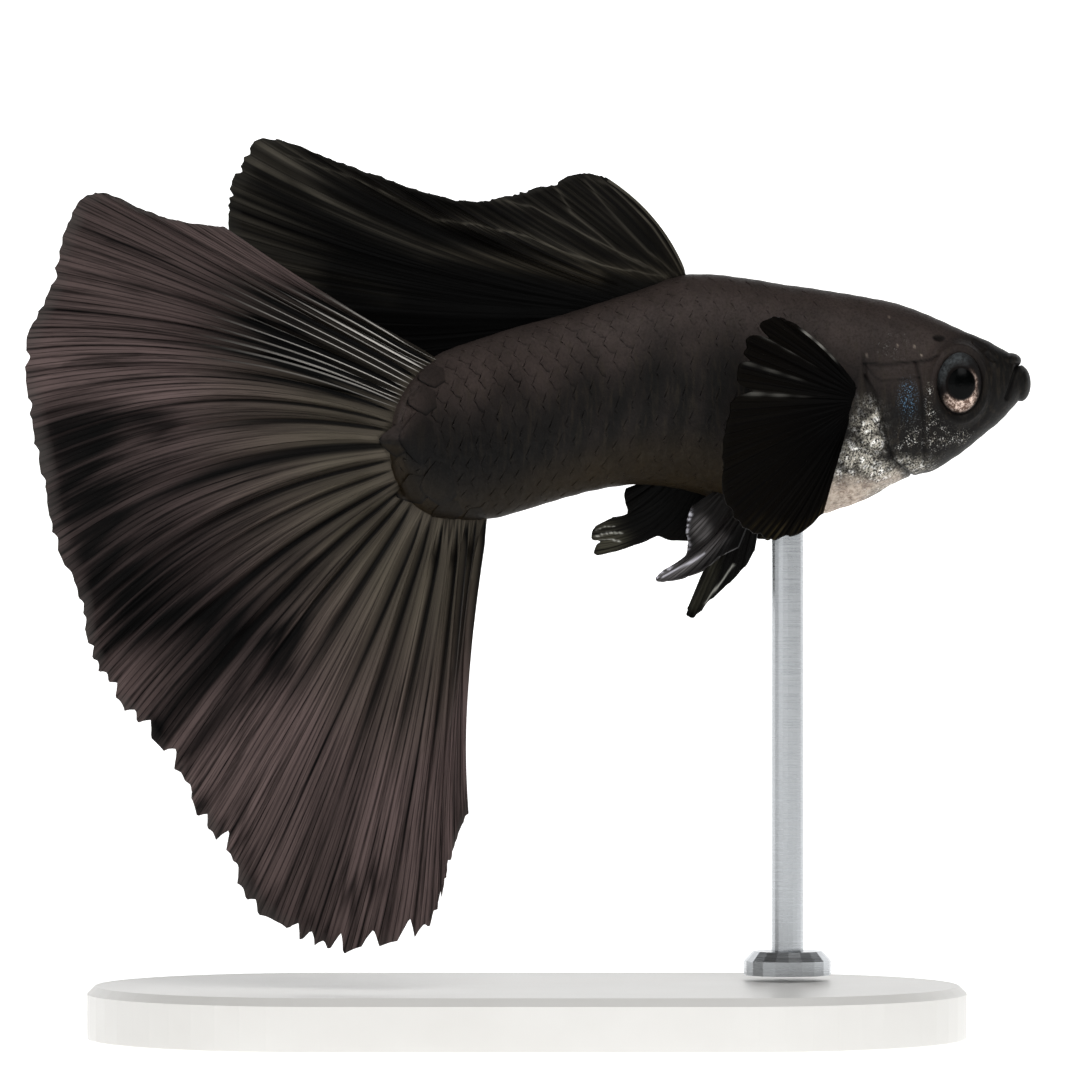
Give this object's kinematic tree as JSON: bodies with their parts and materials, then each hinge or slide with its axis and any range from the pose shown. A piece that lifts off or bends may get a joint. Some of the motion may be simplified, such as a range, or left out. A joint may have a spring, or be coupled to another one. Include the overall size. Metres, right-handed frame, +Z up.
{
  "type": "fancy guppy",
  "caption": "Still life-size model of a black male fancy guppy swimming with its great fan of a tail spread, held up on a slim rod over a plain plate.",
  "frame": {"origin": "centre of the stand base's flat underside", "axes": "+X towards the fish's head, +Z up, and its right flank faces -Y"},
  "size_m": [0.0503, 0.024, 0.0458],
  "materials": {
    "skin": "wet scaled skin, almost black, silver on the chest",
    "gill": "wet skin, dark grey with a metallic glint",
    "fin": "satin fin skin, black with a mauve brown sheen",
    "eye": "wet and glossy, black pupil in a silvery ring",
    "rod": "satin",
    "base": "satin"
  },
  "bodies": {
    "root": {"head": "skin", "trunk": "skin", "tail_root": "skin", "gill_cover_right": "gill", "gill_cover_left": "gill", "eye_right": "eye", "eye_left": "eye", "caudal_fin": "fin", "dorsal_fin": "fin", "pectoral_fin_right": "fin", "pectoral_fin_left": "fin", "pelvic_fin_right": "fin", "pelvic_fin_left": "fin", "gonopodium": "fin", "stand_rod": "rod", "stand_base": "base"}
  },
  "joints": []
}
